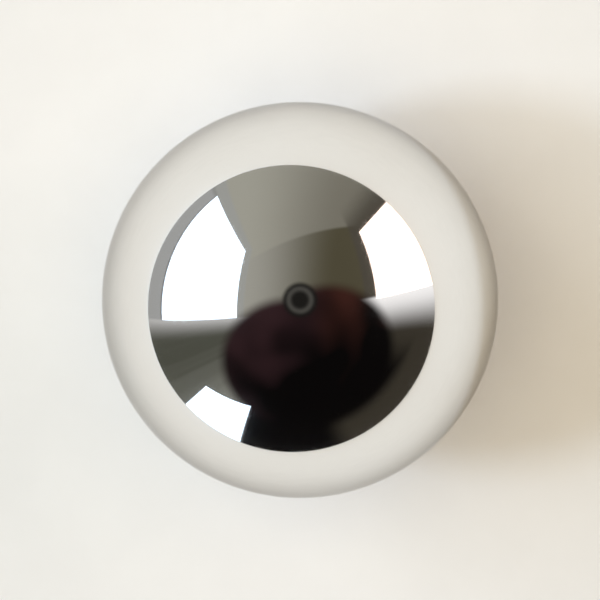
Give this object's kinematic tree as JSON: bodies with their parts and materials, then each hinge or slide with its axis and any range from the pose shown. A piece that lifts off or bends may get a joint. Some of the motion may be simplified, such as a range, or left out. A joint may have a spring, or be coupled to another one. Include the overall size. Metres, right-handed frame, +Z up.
{
  "type": "steel ball",
  "caption": "Solid steel ball, a true sphere ground and lapped to a mirror finish, for rolling in a race, seating in a cone or cup, or as a weight.",
  "frame": {"origin": "the centre of the ball", "axes": "+Z up; the ball is the same about every axis through its centre, so +X and +Y are free"},
  "size_m": [0.0126, 0.0126, 0.0126],
  "materials": {
    "polished_steel": "polished"
  },
  "bodies": {
    "root": {"ball": "polished_steel"}
  },
  "joints": []
}
